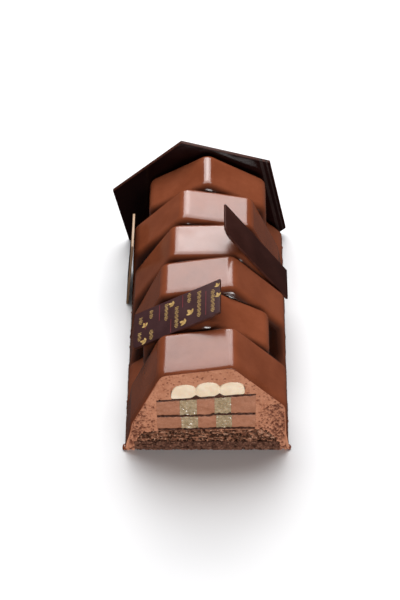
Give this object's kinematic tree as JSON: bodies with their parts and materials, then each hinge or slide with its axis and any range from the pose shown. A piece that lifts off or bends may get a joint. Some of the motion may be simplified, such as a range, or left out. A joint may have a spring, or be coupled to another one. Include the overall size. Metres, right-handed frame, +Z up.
{
  "type": "yule log cake",
  "caption": "Glazed chocolate mousse log of turned six-sided slabs, cut across one end to show its fillings, with thin chocolate plaques and an end plate.",
  "frame": {"origin": "centre of the bounding box on the table plane that the cake stands on", "axes": "+Y runs along the log from its cut end to the end plate, +Z is up, +X is to the right seen from the cut end"},
  "size_m": [0.0934, 0.1544, 0.0752],
  "materials": {
    "glaze": "mirror-bright milk chocolate glaze",
    "mousse": "matt, finely porous milk chocolate mousse",
    "cream": "satin ivory cream",
    "chocolate_sheet": "thin dark chocolate",
    "ganache": "smooth soft milk chocolate ganache",
    "pear_gel": "pale translucent green-beige fruit gel",
    "sponge": "dark open-crumbed chocolate sponge",
    "base": "dense brown crunchy base",
    "dark_chocolate": "polished dark chocolate",
    "printed_chocolate": "dark chocolate with a fine gold print of leaves and dashes"
  },
  "bodies": {
    "root": {"glaze": "glaze", "mousse": "mousse", "cream_ropes": "cream", "chocolate_sheet_top": "chocolate_sheet", "chocolate_sheet_centre": "chocolate_sheet", "chocolate_sheet_bottom": "chocolate_sheet", "ganache_upper_1": "ganache", "ganache_upper_2": "ganache", "ganache_upper_3": "ganache", "ganache_lower_1": "ganache", "ganache_lower_2": "ganache", "ganache_lower_3": "ganache", "pear_gel_upper_1": "pear_gel", "pear_gel_upper_2": "pear_gel", "pear_gel_lower_1": "pear_gel", "pear_gel_lower_2": "pear_gel", "sponge": "sponge", "base_layer": "base", "back_plate": "dark_chocolate", "right_plaque": "dark_chocolate", "left_plaque": "dark_chocolate", "printed_plaque": "printed_chocolate"}
  },
  "joints": []
}
